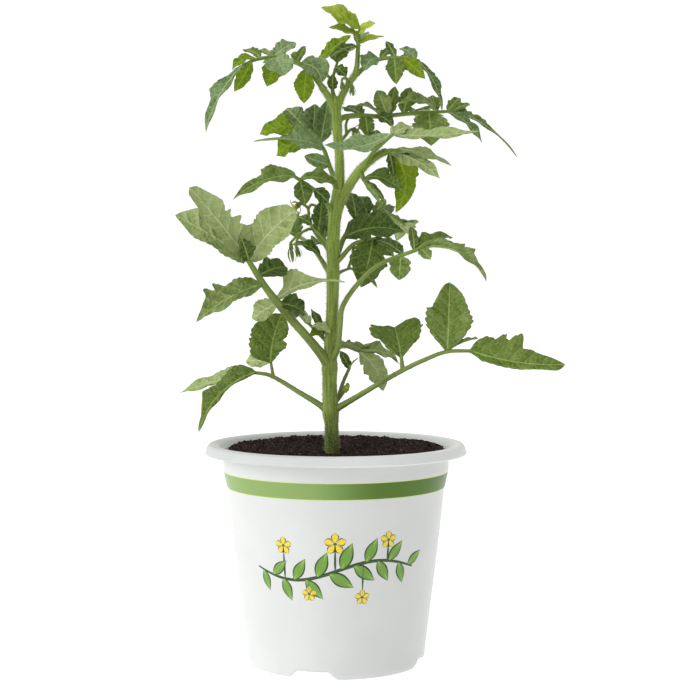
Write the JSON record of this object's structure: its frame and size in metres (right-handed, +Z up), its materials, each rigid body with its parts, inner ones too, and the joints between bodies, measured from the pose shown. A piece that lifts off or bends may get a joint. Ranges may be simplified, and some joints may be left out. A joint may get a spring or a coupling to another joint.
{
  "type": "potted tomato plant",
  "caption": "Young tomato plant with toothed compound leaves and flower buds, growing in a soil-filled thin plastic pot.",
  "frame": {"origin": "middle of the pot's underside, on the surface that the pot stands on", "axes": "+Z up along the pot's axis, -Y towards the viewer, +X to the viewer's right"},
  "size_m": [0.1743, 0.118, 0.2936],
  "materials": {
    "pot_plastic": "smooth satin white plastic with a printed green band",
    "soil": "moist crumbly dark brown potting soil",
    "stem_green": "matte green, finely haired",
    "leaf_green": "matte green, veined and finely haired",
    "flower_buds": "matte green sepals with yellow petals"
  },
  "bodies": {
    "root": {"pot": "pot_plastic", "soil": "soil", "stem": "stem_green", "leaf_lowest_left": "leaf_green", "leaf_lowest_right": "leaf_green", "leaf_low_behind": "leaf_green", "shoot_low_right": "leaf_green", "leaf_large_left": "leaf_green", "shoot_left": "leaf_green", "leaf_right_long": "leaf_green", "leaf_right_dark": "leaf_green", "leaf_right_under": "leaf_green", "leaf_behind_left": "leaf_green", "leaf_small_left": "leaf_green", "leaf_left_arching": "leaf_green", "leaf_left_upper": "leaf_green", "leaf_right_pale": "leaf_green", "leaf_right_fan": "leaf_green", "leaf_right_low": "leaf_green", "leaf_right_upper": "leaf_green", "leaf_top_left": "leaf_green", "shoot_top": "leaf_green", "shoot_middle": "leaf_green", "leaf_top_right": "leaf_green", "flowers_left": "flower_buds", "flowers_top": "flower_buds", "flowers_right": "flower_buds"}
  },
  "joints": []
}
